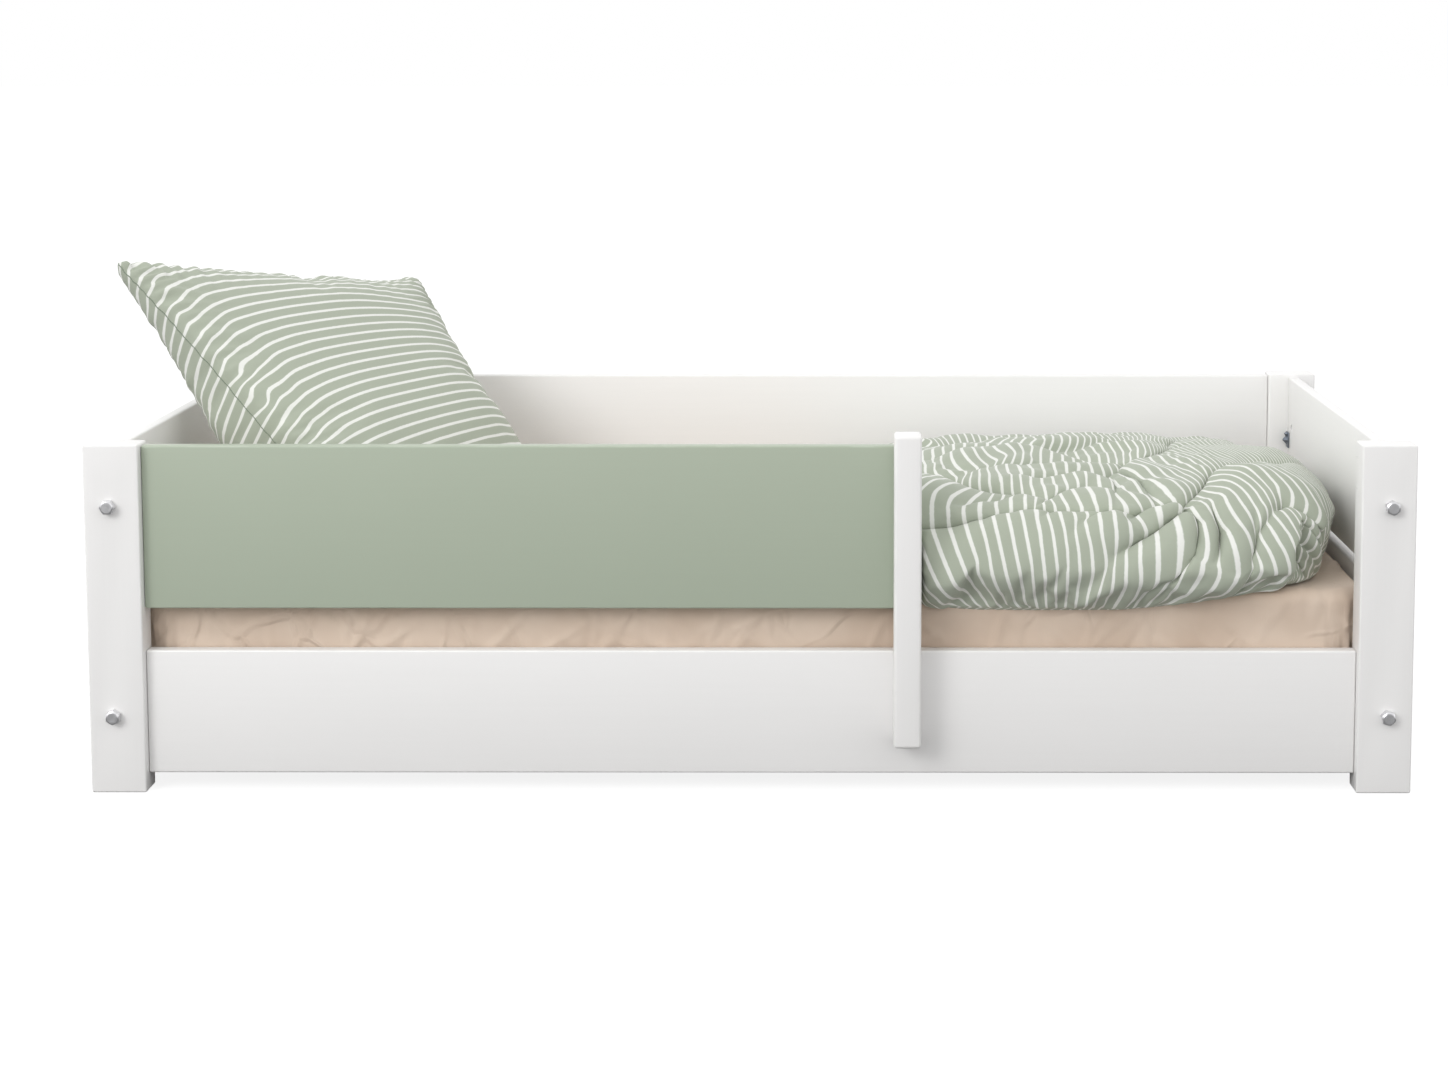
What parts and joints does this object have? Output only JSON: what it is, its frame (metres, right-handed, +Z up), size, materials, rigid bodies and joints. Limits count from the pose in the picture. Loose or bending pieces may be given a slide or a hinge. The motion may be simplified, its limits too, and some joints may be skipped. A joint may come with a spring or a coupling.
{
  "type": "toddler bed",
  "caption": "Low white wooden toddler bed with a sage green safety rail held by an upright, slatted base, mattress, striped pillow and bunched duvet.",
  "frame": {"origin": "on the floor, under the middle of the whole object's box", "axes": "+X along the bed from the head end to the foot end, +Y from the open front with the safety rail towards the back board, +Z up"},
  "size_m": [1.6939, 0.8173, 0.6358],
  "materials": {
    "white_paint": "satin white paint on solid wood and board",
    "sage_paint": "satin sage green paint",
    "pine": "bare planed pine",
    "zinc_steel": "zinc plated",
    "dark_steel": "dark zinc, satin",
    "webbing": "woven polyester tape",
    "fitted_sheet": "soft beige cotton jersey",
    "bedding": "sage cotton with thin white stripes"
  },
  "bodies": {
    "bed_frame": {"back_board_lower": "white_paint", "back_board_upper": "white_paint", "barrel_nut_foot_back_lower": "zinc_steel", "barrel_nut_foot_back_upper": "zinc_steel", "barrel_nut_foot_front_lower": "zinc_steel", "barrel_nut_foot_front_upper": "zinc_steel", "barrel_nut_head_back_lower": "zinc_steel", "barrel_nut_head_back_upper": "zinc_steel", "barrel_nut_head_front_lower": "zinc_steel", "barrel_nut_head_front_upper": "zinc_steel", "corner_fitting_left": "dark_steel", "corner_fitting_right": "dark_steel", "end_bolt_foot_back_lower": "zinc_steel", "end_bolt_foot_back_upper": "zinc_steel", "end_bolt_foot_front_lower": "zinc_steel", "end_bolt_foot_front_upper": "zinc_steel", "end_bolt_head_back_lower": "zinc_steel", "end_bolt_head_back_upper": "zinc_steel", "end_bolt_head_front_lower": "zinc_steel", "end_bolt_head_front_upper": "zinc_steel", "foot_board_lower": "white_paint", "foot_board_upper": "white_paint", "head_board_lower": "white_paint", "head_board_upper": "white_paint", "post_back_left": "white_paint", "post_back_right": "white_paint", "post_front_left": "white_paint", "post_front_right": "white_paint", "rail_upright": "white_paint", "safety_rail": "sage_paint", "side_board_front": "white_paint", "side_screw_back_board_lower_left": "zinc_steel", "side_screw_back_board_lower_right": "zinc_steel", "side_screw_back_board_upper_left": "zinc_steel", "side_screw_back_board_upper_right": "zinc_steel", "side_screw_safety_rail_left": "zinc_steel", "side_screw_side_board_front_left": "zinc_steel", "side_screw_side_board_front_right": "zinc_steel", "slat_01": "pine", "slat_02": "pine", "slat_03": "pine", "slat_04": "pine", "slat_05": "pine", "slat_06": "pine", "slat_07": "pine", "slat_08": "pine", "slat_09": "pine", "slat_10": "pine", "slat_11": "pine", "slat_12": "pine", "slat_cleat_back": "pine", "slat_cleat_front": "pine", "slat_strap_back": "webbing", "slat_strap_front": "webbing", "upright_bolt_board": "zinc_steel", "upright_bolt_rail": "zinc_steel"},
    "mattress": {"mattress": "fitted_sheet"},
    "pillow": {"pillow": "bedding"},
    "duvet": {"duvet": "bedding"}
  },
  "joints": [
    {"name": "mattress_lift", "type": "slide", "parent": "bed_frame", "child": "mattress", "axis": [0, 0, 1], "range_m": [0, 0.36]},
    {"name": "pillow_lift", "type": "slide", "parent": "mattress", "child": "pillow", "axis": [0, 0, 1], "range_m": [0, 0.3]},
    {"name": "duvet_lift", "type": "slide", "parent": "mattress", "child": "duvet", "axis": [0, 0, 1], "range_m": [0, 0.3]}
  ]
}
